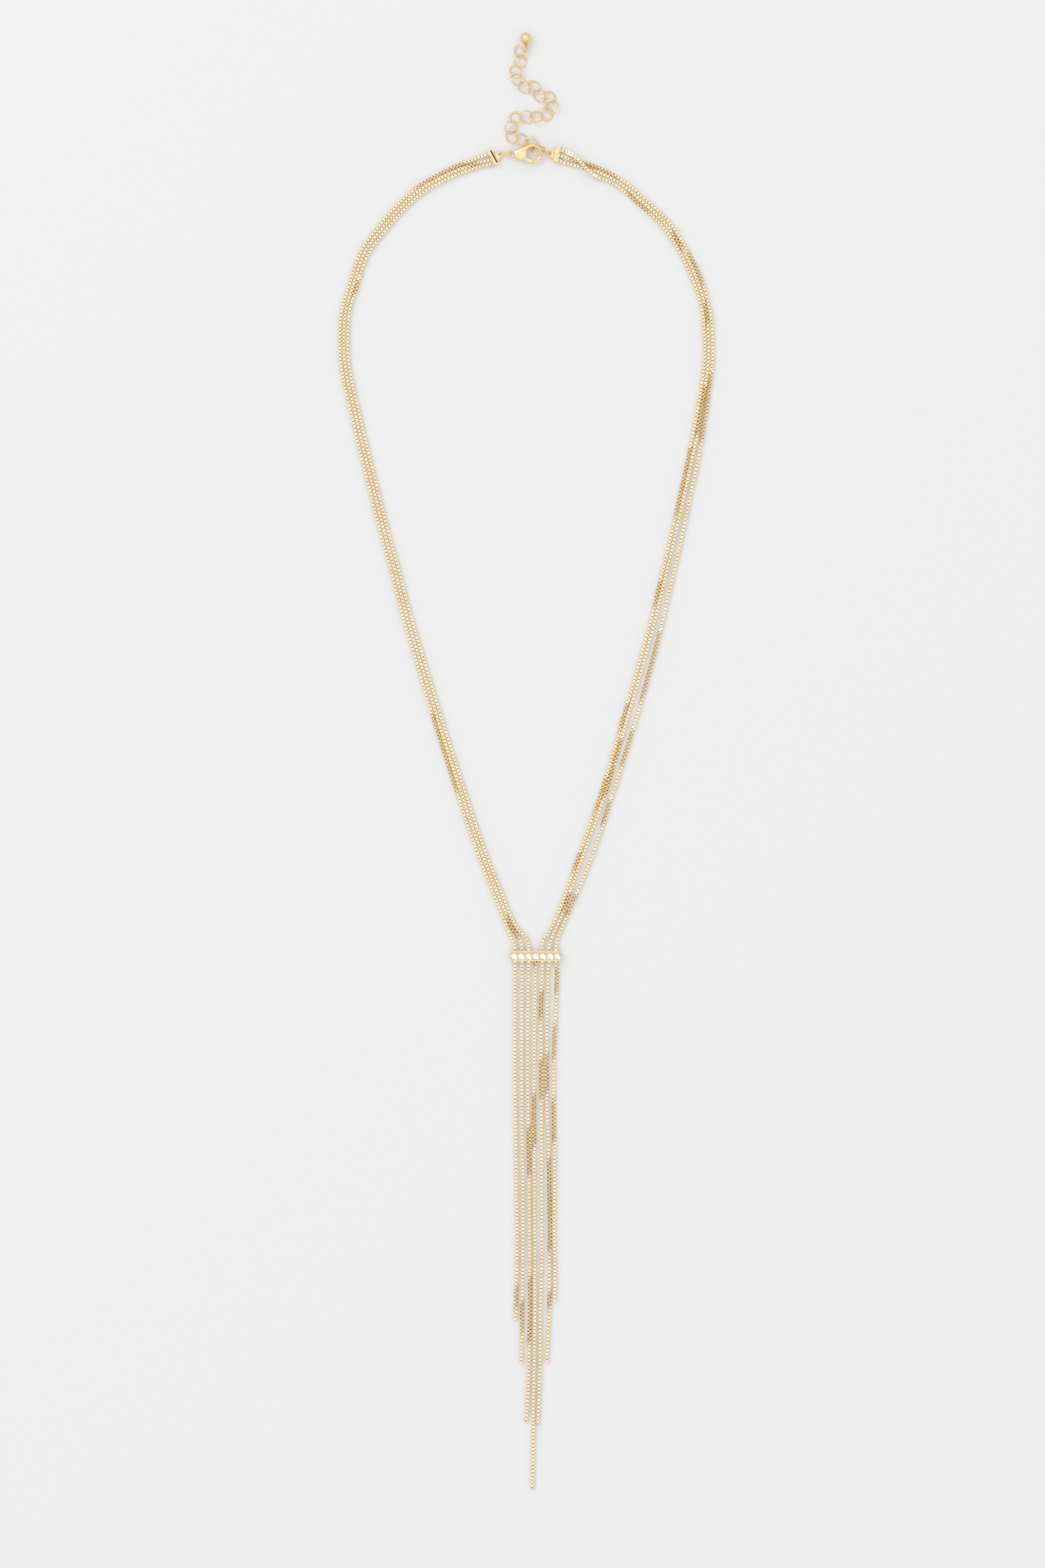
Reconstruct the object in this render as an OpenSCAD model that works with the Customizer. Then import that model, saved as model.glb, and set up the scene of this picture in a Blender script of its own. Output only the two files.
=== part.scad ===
// Tassel necklace laid flat: box chains, a bar of seven stones, a chain fringe, a clasp and an extender.
// Lengths are in mm. X runs right, Y runs from the fringe up to the clasp and Z runs up from the surface.
// The origin is the middle of the stone bar's underside.

/* [Chains] */
// Width and height of a box chain
chain_width = 1.2; // [0.8:0.1:1.6]
// Flat cut off each corner of a box chain
chain_chamfer = 0.2; // [0.1:0.05:0.4]
// Longest step between two sections of a chain
chain_step = 4.6; // [3:0.2:8]

/* [Stone bar] */
// Length of the bar
bar_length = 17.8; // [14:0.2:22]
// Width of the bar
bar_width = 3.7; // [3:0.1:5]
// Height of the plate that holds the stones
plate_height = 2.45; // [2:0.05:3.5]
// Width of the rail above the stones
top_rail_width = 0.9; // [0.5:0.05:1.5]
// Width of the rail below the stones
bottom_rail_width = 0.5; // [0.3:0.05:1.2]
// Distance between two chain bores
bore_pitch = 2.4; // [2:0.05:3]
// Radius of a chain bore
bore_radius = 0.78; // [0.7:0.01:0.9]
// Height of a chain bore's axis
bore_height = 0.92; // [0.85:0.01:1.2]

/* [Stones] */
// Diameter of a stone
stone_diameter = 2.26; // [1.5:0.02:3]
// Distance between two stones
stone_pitch = 2.56; // [2.4:0.02:3]
// Height of a stone from its point to its table
stone_height = 0.98; // [0.8:0.02:1.6]
// Share of the stone's height below its girdle
pavilion_share = 0.44; // [0.3:0.02:0.7]

/* [Extender] */
// Outer diameter of an extender ring
ring_diameter = 4.8; // [4:0.1:6]
// Wire of an extender ring
ring_wire = 0.45; // [0.3:0.05:0.8]
// Diameter of the end ball
ball_diameter = 3.9; // [3:0.1:6]

/* [Clasp] */
// Middle radius of the hook
hook_radius = 2.85; // [2:0.05:4]
// Width of the hook's bar
hook_width = 0.94; // [0.6:0.02:1.4]
// Height of the hook's bar
hook_height = 1.34; // [0.8:0.02:2]
// Height of the clasp's middle above the surface
clasp_level = 1.85; // [1.5:0.05:2.5]
// Thickness of the clasp's body
body_thickness = 2.5; // [1.8:0.1:3.5]
// Thickness of the lever
lever_thickness = 1; // [0.6:0.05:1.4]

/* [End caps] */
// Length of the cap's bar across the three chains
cap_length = 5.9; // [5:0.1:7]
// Width of the bar along the chains
cap_width = 1.7; // [1.3:0.1:2.5]
// Height of the bar
cap_height = 2.1; // [1.7:0.1:3]

/* [Hidden] */
gold = "#dcb568";
crystal = "#e8eef4";
$fn = 48;

// A resting chain clears the surface by this much
rest_gap = 0.03;
rest = chain_width / 2 + rest_gap;
// Height of a chain that crosses over another
over = rest + chain_width + 0.15;

// The middle chain's way down each side: x, y, distance to the inner chain, distance to the outer chain
LEFT_ROUTE = [
    [-20.2, 279.6, 1.35, 1.8], [-25.1, 277.9, 1.35, 1.6], [-30, 276, 1.35, 1.5], [-35, 273.5, 1.35, 1.4],
    [-39.5, 271, 1.35, 1.35], [-44, 267.5, 1.35, 1.35], [-48, 263.5, 1.35, 1.35], [-52.5, 258.5, 1.35, 1.35],
    [-57, 253, 1.35, 1.35], [-60, 248.5, 1.35, 1.35], [-62.5, 242.5, 1.35, 1.35], [-64.5, 236, 1.35, 1.35],
    [-66.5, 229.5, 1.35, 1.35], [-67.5, 223, 1.35, 1.35], [-67.5, 211, 1.35, 1.35], [-66, 201.5, 1.35, 1.35],
    [-64, 193, 1.35, 1.35], [-61, 180, 1.35, 1.35], [-57.5, 166, 1.35, 1.35], [-53.5, 150, 1.35, 1.35],
    [-49.5, 135.5, 1.35, 1.35], [-45.5, 120, 1.35, 1.35], [-41, 105, 1.35, 1.35], [-36.5, 90, 1.35, 1.35],
    [-32, 75.5, 1.35, 1.35], [-27.5, 61.5, 1.35, 1.35], [-23, 47.5, 1.35, 1.35], [-18.5, 35, 1.35, 1.35],
    [-14, 23.5, 1.35, 1.35], [-10.1, 14, 1.3, 1.35]
];
RIGHT_ROUTE = [
    [25, 275, 1.4, 1.4], [28, 273.5, 1.35, 1.35], [32.5, 270.5, 1.35, 1.35], [37, 266.5, 1.35, 1.35],
    [41.5, 262.5, 1.35, 1.35], [46, 258, 1.35, 1.35], [49.5, 253, 1.35, 1.35], [52.5, 248, 1.35, 1.35],
    [55, 243, 1.35, 1.35], [57.5, 237, 1.35, 1.35], [59.5, 230.5, 1.35, 1.35], [60.5, 225, 1.35, 1.35],
    [61, 217.5, 1.35, 1.35], [61, 210, 1.35, 1.35], [60, 201.5, 1.35, 1.4], [58.5, 193, 1.35, 1.7],
    [56, 179, 1.35, 2], [53, 165, 1.35, 2.1], [49.5, 149.5, 1.35, 2.4], [46, 134.5, 1.35, 2.5],
    [42, 118, 1.35, 2.7], [37.5, 101.5, 1.35, 2.9], [33, 86, 1.35, 3], [28.5, 70.5, 1.35, 2.8],
    [24, 55.5, 1.35, 2.5], [19.5, 43, 1.35, 2.9], [15, 30.5, 1.35, 2.9], [11.1, 19.5, 1.35, 2.1],
    [8.8, 13.5, 1.35, 1.75]
];

// Each chain's way out of its cap, x, y, z
LEFT_TOP = [
    [[-16, 283.1, 1], [-16.8, 282.7, 1], [-18.5, 282.1, 0.8]],
    [[-14.9, 281.1, 1], [-15.7, 280.7, 1], [-17.5, 280.3, 0.8]],
    [[-14.3, 279.9, 1], [-15.1, 279.5, 1], [-17.1, 278.9, 0.8]]
];
RIGHT_TOP = [
    [
        [7.9, 284.35, 1], [8.8, 284.2, 1], [10.2, 283.8, 0.9], [11.6, 283.2, 1.2], [13, 282.4, 1.7],
        [14.3, 281.4, over], [15.3, 280.4, over], [16.3, 279.3, over], [17.4, 278.2, over],
        [18.6, 277, over], [19.8, 275.9, over], [21, 275.1, over], [22.5, 274.4, 1.1]
    ],
    [
        [7.3, 280.75, 1], [8.2, 280.57, 1], [9.6, 279.8, 0.7], [11.3, 279.3, rest], [13, 278.9, rest],
        [14.6, 278.6, rest], [16.2, 278.2, rest], [17.8, 277.7, rest], [19.4, 277.2, rest],
        [21, 276.7, rest], [22.8, 276.1, rest]
    ],
    [
        [7.6, 282.53, 1], [8.5, 282.36, 1], [9.8, 281.9, 0.7], [11.3, 281.4, rest], [13, 280.8, rest],
        [14.6, 280.3, rest], [16.2, 279.9, rest], [17.8, 279.5, rest], [19.4, 279, rest],
        [21, 278.4, rest], [23.2, 277.4, rest]
    ]
];

// Each chain's way into the bar, x, y, z
LEFT_FOOT = [
    [[-10.2, 10.3, rest], [-8.8, 6.8, rest], [-7.5, 4.4, 0.7], [-7.2, 2, 0.92], [-7.2, 0.3, 0.92]],
    [[-8.5, 10.4, rest], [-6.6, 7.3, rest], [-5.2, 4.8, 0.7], [-4.8, 2, 0.92], [-4.8, 0.3, 0.92]],
    [[-7.4, 11.5, rest], [-5.6, 8.8, rest], [-3.4, 6.6, rest], [-2.5, 4.2, 0.7], [-2.4, 2, 0.92], [-2.4, 0.3, 0.92]]
];
RIGHT_FOOT = [
    [[6.2, 10.9, rest], [4.7, 8.2, rest], [3, 6, rest], [2.3, 4, 0.7], [2.4, 2, 0.92], [2.4, 0.3, 0.92]],
    [[7.6, 10.6, rest], [6.3, 8, rest], [5.4, 5.4, rest], [4.9, 3.6, 0.75], [4.8, 2, 0.92], [4.8, 0.3, 0.92]],
    [[9.4, 10.2, rest], [8.4, 8, rest], [7.7, 5.6, rest], [7.3, 3.6, 0.75], [7.2, 2, 0.92], [7.2, 0.3, 0.92]]
];

// The fringe chains: their sideways places, one every tassel_station down from first_station
first_station = -5;
tassel_station = -15;
TASSEL_X = [
    [-7.2, -7.3, -7.3, -7.2, -7, -6.8, -6.5, -6.6, -7],
    [-4.8, -4.9, -5, -4.9, -4.8, -4.5, -4.4, -4.5, -4.7, -5],
    [-2.5, -2.7, -2.8, -2.7, -2.4, -2.2, -2.1, -2, -2, -2.3, -2.7],
    [-0.1, -0.3, -0.5, -0.5, -0.5, -0.4, -0.4, -0.3, -0.3, -0.4, -0.7, -0.8, -1.1],
    [2.4, 1.9, 2, 2, 2.1, 2.1, 2.2, 2.1, 1.7, 1.6, 1.2],
    [4.5, 4.1, 4, 4, 4.5, 4.8, 5, 4.9, 4.8, 4.1],
    [7.6, 7.1, 6.5, 6.4, 6.6, 6.7, 6.5, 6.8]
];
// The lower end of each fringe chain, x, y
TASSEL_END = [
    [-7.3, -128.5], [-5.1, -144], [-3.4, -164.5], [-1.2, -188], [0.7, -165.5], [4, -143.5], [6.7, -122]
];

// The extender's rings from the ball to the hook: x, y, z, slope and the direction that the slope faces
RINGS = [
    [-5.4, 319.1, 1.25, 24, 15], [-5.3, 315.5, 1.05, 20, 170], [-6.9, 312.2, 1, 19, -5],
    [-6.5, 309.1, 1.35, 22, -135], [-3.8, 306.5, 1.1, 20, 65], [-0.6, 306.4, 1, 20, -130],
    [1.5, 303.5, 1, 20, 55], [4.8, 302.7, 0.85, 15, -150], [5.7, 299.6, 1, 11, 0],
    [3.9, 296.9, 0.85, 15, 150], [0.4, 295.9, 1.5, 25, -95], [-3.3, 295.9, 1.4, 20, 85],
    [-7, 295.5, 1.05, 20, -65], [-8.6, 292.2, 1.3, 22, 140], [-8.2, 289.1, 0.95, 18, 20],
    [-4.9, 287.8, 1.1, 22, -135], [-1.5, 286.4, 0.85, 15, 65], [1.1, 284.2, 1.65, 39, -90]
];
CAP_RING = [3.8, 283.4, 1.65, 72, 70];
BALL_RING = [-3.5, 320, 1.6, 60, 165];
cap_ring_radius = 1.35;
ball_ring_radius = 1.3;
small_ring_wire = 0.4;
ball_ring_wire = 0.44;

// The clasp's places, counted from a point above the middle of its tail eye
clasp_place = [-8.6, 282.9, clasp_level];
tail_eye = [0, -0.15, 0];
tail_eye_radius = 0.95;
tail_eye_wire = 0.66;
hook_centre = [7.6, -0.05];
// The hook runs from its tip round to the body
hook_tip_angle = -104;
hook_turn = 254;
pivot = [3.15, -0.6];
pin_radius = 0.25;
pin_play = 0.08;
pin_hold = 0.3;
knuckle_radius = 0.62;
slot_play = 0.1;
lever_reach = 4.7;
tip_gap = 0.1;

// A point on the smooth curve through p1 and p2
function curve_point(p0, p1, p2, p3, t) = 0.5 * (
    2 * p1 + (p2 - p0) * t + (2 * p0 - 5 * p1 + 4 * p2 - p3) * t * t + (3 * p1 - p0 - 3 * p2 + p3) * t * t * t
);
function clamped(path, i) = path[max(0, min(len(path) - 1, i))];
function steps_between(a, b) = max(1, round(norm(b - a) / chain_step));
function curve(path) = [
    for (i = [0:len(path) - 2])
        let (steps = steps_between(path[i], path[i + 1]))
            for (k = [0:steps - 1])
                curve_point(clamped(path, i - 1), path[i], path[i + 1], clamped(path, i + 2), k / steps),
    path[len(path) - 1]
];

function unit(v) = v / norm(v);
// The direction to the left of the way along a flat route
function leftward(route, i) =
    let (ahead = clamped(route, i + 1), behind = clamped(route, i - 1))
        unit([behind[1] - ahead[1], ahead[0] - behind[0]]);
// lane is 1 for the inner chain, 0 for the middle one and -1 for the outer one; inward is 1 where inside is left
function lane_path(route, lane, inward) = [
    for (i = [0:len(route) - 1])
        let (gap = lane > 0 ? route[i][2] : route[i][3], side = leftward(route, i) * lane * inward * gap)
            [route[i][0] + side[0], route[i][1] + side[1], rest]
];
function tassel_path(n) = concat(
    [[(n - 3) * bore_pitch, -0.3, bore_height], [(n - 3) * bore_pitch, -2, bore_height]],
    [for (i = [0:len(TASSEL_X[n]) - 1]) [TASSEL_X[n][i], first_station + i * tassel_station, rest]],
    [[TASSEL_END[n][0], TASSEL_END[n][1], rest]]
);

// A box chain's outline, sideways and up, counter-clockwise
function chain_outline() =
    let (h = chain_width / 2, c = chain_width / 2 - chain_chamfer)
        [[h, -c], [h, c], [c, h], [-c, h], [-h, c], [-h, -c], [-c, -h], [c, -h]];

module chain_tube(path) {
    points = curve(path);
    outline = chain_outline();
    sides = len(outline);
    last = len(points) - 1;
    vertices = [
        for (i = [0:last])
            let (
                along = unit(clamped(points, i + 1) - clamped(points, i - 1)),
                sideways = unit(cross([0, 0, 1], along)),
                up = cross(along, sideways)
            )
                for (p = outline)
                    points[i] + sideways * p[0] + up * p[1]
    ];
    wall = [
        for (i = [0:last - 1])
            for (j = [0:sides - 1])
                let (a = i * sides + j, b = i * sides + (j + 1) % sides)
                    each [[a, a + sides, b + sides], [a, b + sides, b]]
    ];
    start_face = [for (j = [0:sides - 1]) j];
    end_face = [for (j = [sides - 1:-1:0]) last * sides + j];
    color(gold) polyhedron(points = vertices, faces = concat(wall, [start_face], [end_face]));
}

module left_strand(n) {
    chain_tube(concat(LEFT_TOP[n], lane_path(LEFT_ROUTE, n - 1, 1), LEFT_FOOT[n]));
}

module right_strand(n) {
    chain_tube(concat(RIGHT_TOP[n], lane_path(RIGHT_ROUTE, 1 - n, -1), RIGHT_FOOT[n]));
}

module tassel_strand(n) {
    chain_tube(tassel_path(n));
}

module rounded_plate(length, width, height, radius) {
    linear_extrude(height) {
        square([length - 2 * radius, width], center = true);
        square([length, width - 2 * radius], center = true);
        for (x = [-1, 1])
            for (y = [-1, 1])
                translate([x * (length / 2 - radius), y * (width / 2 - radius)]) circle(radius);
    }
}

// Heights of a stone's point and girdle above the surface, and the stones' middle across the bar
stone_base = 1.87;
stone_girdle = stone_base + stone_height * pavilion_share;
stone_y = -0.1;
seat_gap = 0.04;
girdle_thickness = 0.08;
// The table's width and the girdle facets' slope, as shares of the stone's width and of the kites' slope
table_share = 0.6;
girdle_facet_share = 0.62;
grain_radius = 0.22;
grain_offset = 0.85;
grain_spread = 0.98;
bar_corner = 0.5;
rail_radius = 0.4;
rail_rise = 0.35;
top_rail_step = 0.2;
bottom_rail_step = 0.1;
bottom_rail_corner = 0.2;

module stone_seat() {
    seat_radius = stone_diameter / 2 + seat_gap;
    translate([0, 0, stone_base - seat_gap])
        cylinder(h = stone_girdle - stone_base, r1 = 0.3, r2 = seat_radius);
    translate([0, 0, stone_girdle - seat_gap - 0.01]) cylinder(h = 2, r = seat_radius);
}

module long_rail(y, width, rise, radius) {
    translate([0, y, 0]) rounded_plate(bar_length - 0.2, width, plate_height + rise, radius);
}

module stone_bar() {
    top_rail_y = (bar_width - top_rail_width) / 2;
    bottom_rail_y = (bottom_rail_width - bar_width) / 2;
    color(gold) difference() {
        union() {
            rounded_plate(bar_length, bar_width, plate_height, bar_corner);
            long_rail(top_rail_y, top_rail_width, top_rail_step, rail_radius);
            long_rail(bottom_rail_y, bottom_rail_width, bottom_rail_step, bottom_rail_corner);
            translate([0, top_rail_y, plate_height + rail_rise - rail_radius])
                rotate([0, 90, 0])
                    cylinder(h = bar_length - 2 * rail_radius, r = rail_radius, center = true);
            for (i = [-3:4])
                for (side = [-1, 1])
                    translate([(i - 0.5) * stone_pitch * grain_spread, stone_y + side * grain_offset, plate_height])
                        sphere(grain_radius);
        }
        for (i = [-3:3]) {
            translate([i * bore_pitch, 0, bore_height])
                rotate([90, 0, 0])
                    cylinder(h = bar_width + 1, r = bore_radius, center = true);
            translate([i * stone_pitch, stone_y, 0]) stone_seat();
        }
    }
}

// A brilliant cut: a table, eight kite facets, eight upper girdle facets and sixteen pavilion facets
module stone(n) {
    radius = stone_diameter / 2;
    girdle = stone_height * pavilion_share;
    crown = stone_height - girdle - girdle_thickness;
    corner = 1 / cos(22.5);
    kite_slope = (1 - table_share) * radius / crown;
    girdle_slope = girdle_facet_share * kite_slope;
    color(crystal) translate([(n - 4) * stone_pitch, stone_y, stone_base])
        intersection() {
            cylinder(h = stone_height, r = radius);
            cylinder(h = stone_height, r1 = corner * (radius * table_share + kite_slope * stone_height),
                r2 = corner * radius * table_share, $fn = 8);
            rotate(22.5) cylinder(h = stone_height,
                r1 = corner * (radius * 1.02 + girdle_slope * (girdle + girdle_thickness)),
                r2 = corner * (radius * 1.02 - girdle_slope * crown), $fn = 8);
            cylinder(h = stone_height, r1 = 0.02, r2 = corner * radius * stone_height / girdle, $fn = 8);
            rotate(22.5) cylinder(h = stone_height, r1 = 0.12,
                r2 = corner * radius * 0.98 * stone_height / girdle, $fn = 8);
        }
}

module torus(radius, wire) {
    rotate_extrude() translate([radius, 0]) circle(d = wire, $fn = 24);
}

// row is x, y, z, slope and the direction that the slope faces
module laid_ring(row, radius, wire) {
    translate([row[0], row[1], row[2]]) rotate([0, 0, row[4]]) rotate([0, -row[3], 0]) torus(radius, wire);
}

module extender_ring(n) {
    color(gold) laid_ring(RINGS[n - 1], (ring_diameter - ring_wire) / 2, ring_wire);
}

module cap_ring() {
    color(gold) laid_ring(CAP_RING, cap_ring_radius, small_ring_wire);
}

module ball_ring() {
    color(gold) laid_ring(BALL_RING, ball_ring_radius, ball_ring_wire);
}

ball_place = [-3.4, 323.6, ball_diameter / 2 + rest_gap];
ball_eye = [-3.3, 321.15, 1.6, 16, 45];
ball_eye_radius = 0.75;

module end_ball() {
    color(gold) union() {
        translate(ball_place) sphere(d = ball_diameter);
        laid_ring(ball_eye, ball_eye_radius, small_ring_wire);
    }
}

// A flat bar's section with round ends, width across and height along the axis
module round_section(width, height) {
    square([width, max(0.01, height - width)], center = true);
    for (side = [-1, 1])
        translate([0, side * (height - width) / 2]) circle(d = width, $fn = 24);
}

// The body's outline, open where the hook's opening is
module clasp_outline() {
    difference() {
        polygon([
            [0.9, 0.5], [2.5, 1.35], [3.8, 2.1], [5, 2.75], [6.1, 3.2], [6.6, 1.5], [5.6, 0], [5.3, -0.6],
            [4.75, -2.6], [3.8, -2.45], [3, -2.2], [1.9, -1.6], [0.9, -0.9]
        ]);
        translate(hook_centre) circle(hook_radius - hook_width / 2);
    }
}

module ellipsoid(centre, turn, radii) {
    translate(centre) rotate(turn) scale(radii) sphere(1);
}

// The body's rounded faces: a ridge along the arm and a lower lobe round the lever
module clasp_dome() {
    ellipsoid([3.9, 1.15, 0], 30, [3.7, 1.3, body_thickness / 2]);
    ellipsoid([3.6, -0.3, 0], -8, [3.1, 2.5, 0.46 * body_thickness]);
}

module clasp_pillow(slot_height) {
    slot_top = 0.2;
    slot_foot = -3.6;
    difference() {
        intersection() {
            translate([0, 0, -body_thickness / 2]) linear_extrude(body_thickness) clasp_outline();
            clasp_dome();
        }
        translate([0, 0, -slot_height / 2])
            linear_extrude(slot_height)
                polygon([[2.3, slot_top], [6.8, slot_top], [6.8, slot_foot], [2.3, slot_foot]]);
    }
}

// The arm narrows into the hook
module clasp_taper() {
    ellipsoid([6.8, 2.7, 0], 14, [2, 0.75, 0.85]);
}

// The hook's tip is cut round the pivot, so that the lever's end passes it
module clasp_hook() {
    difference() {
        translate(hook_centre)
            rotate(hook_tip_angle)
                rotate_extrude(angle = hook_turn)
                    translate([hook_radius, 0]) round_section(hook_width, hook_height);
        intersection() {
            translate([pivot[0], pivot[1], 0]) cylinder(h = 4, r = lever_reach + tip_gap, center = true);
            translate([5, -5, -2]) cube([4, 3, 4]);
        }
    }
}

module clasp_body() {
    slot_height = lever_thickness + 2 * slot_play;
    color(gold) translate(clasp_place) union() {
        clasp_pillow(slot_height);
        clasp_taper();
        clasp_hook();
        translate(tail_eye) torus(tail_eye_radius, tail_eye_wire);
        translate([pivot[0], pivot[1], 0]) cylinder(h = slot_height + 2 * pin_hold, r = pin_radius, center = true);
    }
}

module clasp_lever() {
    color(gold) translate(clasp_place) difference() {
        translate([0, 0, -lever_thickness / 2]) linear_extrude(lever_thickness) {
            intersection() {
                polygon([
                    [2.95, -1.15], [4.2, -2.25], [5.2, -2.72], [6.1, -3], [7.3, -3.35], [8, -2.75], [6.9, -2.15],
                    [5.9, -1.73], [5, -1.5], [3.72, -0.5]
                ]);
                translate(pivot) circle(lever_reach);
            }
            translate(pivot) circle(knuckle_radius);
        }
        translate([pivot[0], pivot[1], 0]) cylinder(h = 2 * lever_thickness, r = pin_radius + pin_play, center = true);
    }
}

// The end caps: x, y and turn of each, then its eye, counted from the middle of its bar
left_cap_place = [-15, 281.6, 28.5];
right_cap_place = [7.5, 282.8, 170];
left_cap_eye = [2.75, -0.17];
right_cap_eye = [2.4, -0.5];
cap_eye_level = 1.3;
cap_eye_radius = 0.78;
cap_eye_wire = 0.56;
cap_corner = 0.45;
neck_foot = 0.8;
neck_height = 0.85;
// Where the chains' sockets lie along each bar, their size and their height
LEFT_SOCKETS = [1.8, -0.5, -1.8];
RIGHT_SOCKETS = [1.6, -0.25, -2.05];
socket_radius = 0.84;
socket_level = 1;
socket_mouth = -cap_width / 2 - 0.5;
socket_end = 0.05;
// The slot behind the sockets
slot_x = 0.36;
slot_width = 0.4;
slot_length = 4.8;
slot_depth = 1;

// face is the height of the bar's face that has the slot
module end_cap(eye, sockets, face) {
    difference() {
        union() {
            intersection() {
                translate([0, 0, rest_gap]) rounded_plate(cap_width, cap_length, cap_height, cap_corner);
                translate([0, 0, cap_height / 2 + rest_gap])
                    rotate([90, 0, 0])
                        cylinder(h = cap_length + 1, r = 0.625 * cap_height, center = true);
            }
            translate([0, 0, neck_foot])
                linear_extrude(neck_height)
                    polygon([
                        [0.3, 2.2], [cap_width / 2, 1.7], [1.15, 0.95], [eye[0] - 0.75, eye[1] + 0.7],
                        [eye[0] - 0.4, eye[1] - 0.8], [1.6, -1.6], [1.15, -2.05], [0.3, -2.4]
                    ]);
            translate([eye[0], eye[1], cap_eye_level]) torus(cap_eye_radius, cap_eye_wire);
        }
        for (y = sockets)
            translate([socket_mouth, y, socket_level])
                rotate([0, 90, 0])
                    cylinder(h = socket_end - socket_mouth, r = socket_radius);
        translate([slot_x, 0, face]) cube([slot_width, slot_length, 2 * slot_depth], center = true);
    }
}

module left_end_cap() {
    color(gold)
        translate([left_cap_place[0], left_cap_place[1], 0])
            rotate(left_cap_place[2])
                end_cap(left_cap_eye, LEFT_SOCKETS, cap_height + rest_gap);
}

// The right cap lies on its other face, so its outline is turned over and its slot is underneath
module right_end_cap() {
    color(gold)
        translate([right_cap_place[0], right_cap_place[1], 0])
            rotate(right_cap_place[2])
                mirror([0, 1, 0])
                    end_cap(right_cap_eye, RIGHT_SOCKETS, rest_gap);
}

// The oval link between the left cap's eye and the clasp's tail eye
link_place = [-10.55, 282.76, 1.575];
link_turn = [0, -8, 2];
link_lean = 60;
link_straight = 2.2;
link_end_radius = 0.9;

module left_link() {
    color(gold) translate(link_place) rotate(link_turn) rotate([link_lean, 0, 0]) union() {
        for (side = [-1, 1]) {
            translate([side * link_straight / 2, 0, 0])
                rotate(side * 90 - 90)
                    rotate([0, 0, -90])
                        rotate_extrude(angle = 180)
                            translate([link_end_radius, 0]) circle(d = small_ring_wire, $fn = 24);
            translate([0, side * link_end_radius, 0])
                rotate([0, 90, 0])
                    cylinder(h = link_straight, d = small_ring_wire, center = true, $fn = 24);
        }
    }
}

stone_bar();
for (i = [1:7])
    stone(i);
for (i = [1:3])
    left_strand(i - 1);
for (i = [1:3])
    right_strand(i - 1);
for (i = [1:7])
    tassel_strand(i - 1);
left_end_cap();
right_end_cap();
left_link();
clasp_body();
clasp_lever();
cap_ring();
for (i = [1:18])
    extender_ring(i);
ball_ring();
end_ball();
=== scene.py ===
# %% [markdown]
# # A tassel necklace, laid flat
#
# The necklace is six gold box chains that meet in a bar of seven cut stones, with a fringe of seven
# more chains below the bar, and a clasp with an extender above. Its solid parts come from a CAD model,
# which is loaded first and never moved. Everything below either gives those parts a finish or replaces
# a plain chain solid by a real chain of links.

# %% Load the CAD model
import math

import bmesh
import bpy
from mathutils import Matrix, Vector


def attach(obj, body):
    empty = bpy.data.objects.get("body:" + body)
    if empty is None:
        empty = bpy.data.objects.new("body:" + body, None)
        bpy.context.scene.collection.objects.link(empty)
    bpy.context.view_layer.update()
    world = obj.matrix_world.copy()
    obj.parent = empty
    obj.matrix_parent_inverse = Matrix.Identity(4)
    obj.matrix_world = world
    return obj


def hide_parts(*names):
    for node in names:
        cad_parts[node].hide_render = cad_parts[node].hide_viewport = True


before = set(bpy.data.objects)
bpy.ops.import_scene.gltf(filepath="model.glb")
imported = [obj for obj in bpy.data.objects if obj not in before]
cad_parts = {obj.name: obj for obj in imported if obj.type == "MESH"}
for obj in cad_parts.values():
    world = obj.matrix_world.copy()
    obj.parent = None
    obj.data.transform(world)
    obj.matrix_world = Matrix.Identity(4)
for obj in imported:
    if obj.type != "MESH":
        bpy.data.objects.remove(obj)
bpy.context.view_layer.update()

MM = 0.001
scene = bpy.context.scene
print("CAD parts:", len(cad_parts))

# %% [markdown]
# ## The camera
#
# The necklace was photographed from straight above, with a long lens, so that the chains at the edge
# show almost none of their sides. A lens of 170 mm on a 36 mm picture height gives that. The distance
# follows from the height that the picture has to cover.

# %% Camera straight above
PICTURE_HEIGHT = 553.2 * MM
PICTURE_MIDDLE = Vector((-4.6, 60.6, 0)) * MM
SENSOR = 36
LENS = 170

lens = bpy.data.cameras.new("camera_above")
lens.sensor_fit = "VERTICAL"
lens.sensor_height = SENSOR
lens.lens = LENS
camera = bpy.data.objects.new("camera_above", lens)
camera.location = PICTURE_MIDDLE + Vector((0, 0, PICTURE_HEIGHT * LENS / SENSOR))
scene.collection.objects.link(camera)
scene.camera = camera
print("camera height in mm:", round(camera.location.z / MM))

# %% [markdown]
# ## Helpers
#
# Colours are picked on a screen as sRGB hex values, but a shader works with linear light, so one
# function converts them. A node tree is easier to read when each node is made in one line with its
# settings and its links, so another does that for every kind of node. Shapes are built with bmesh, and
# the last two turn such a shape into a mesh and a mesh into an object at the origin.

# %% Colour, node and object helpers
def linear(hex_colour):
    """An sRGB hex colour as linear red, green, blue and alpha."""
    channels = [int(hex_colour[i:i + 2], 16) / 255 for i in (1, 3, 5)]
    return [c / 12.92 if c <= 0.04045 else ((c + 0.055) / 1.055) ** 2.4 for c in channels] + [1]


def add(tree, kind, inputs=None, **settings):
    """Adds a node. A setting is a property, and an input is a value or the socket that feeds it."""
    node = tree.nodes.new(kind)
    for name, value in settings.items():
        setattr(node, name, value)
    for socket, value in (inputs or {}).items():
        if isinstance(value, bpy.types.NodeSocket):
            tree.links.new(value, node.inputs[socket])
        else:
            node.inputs[socket].default_value = value
    return node


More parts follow.
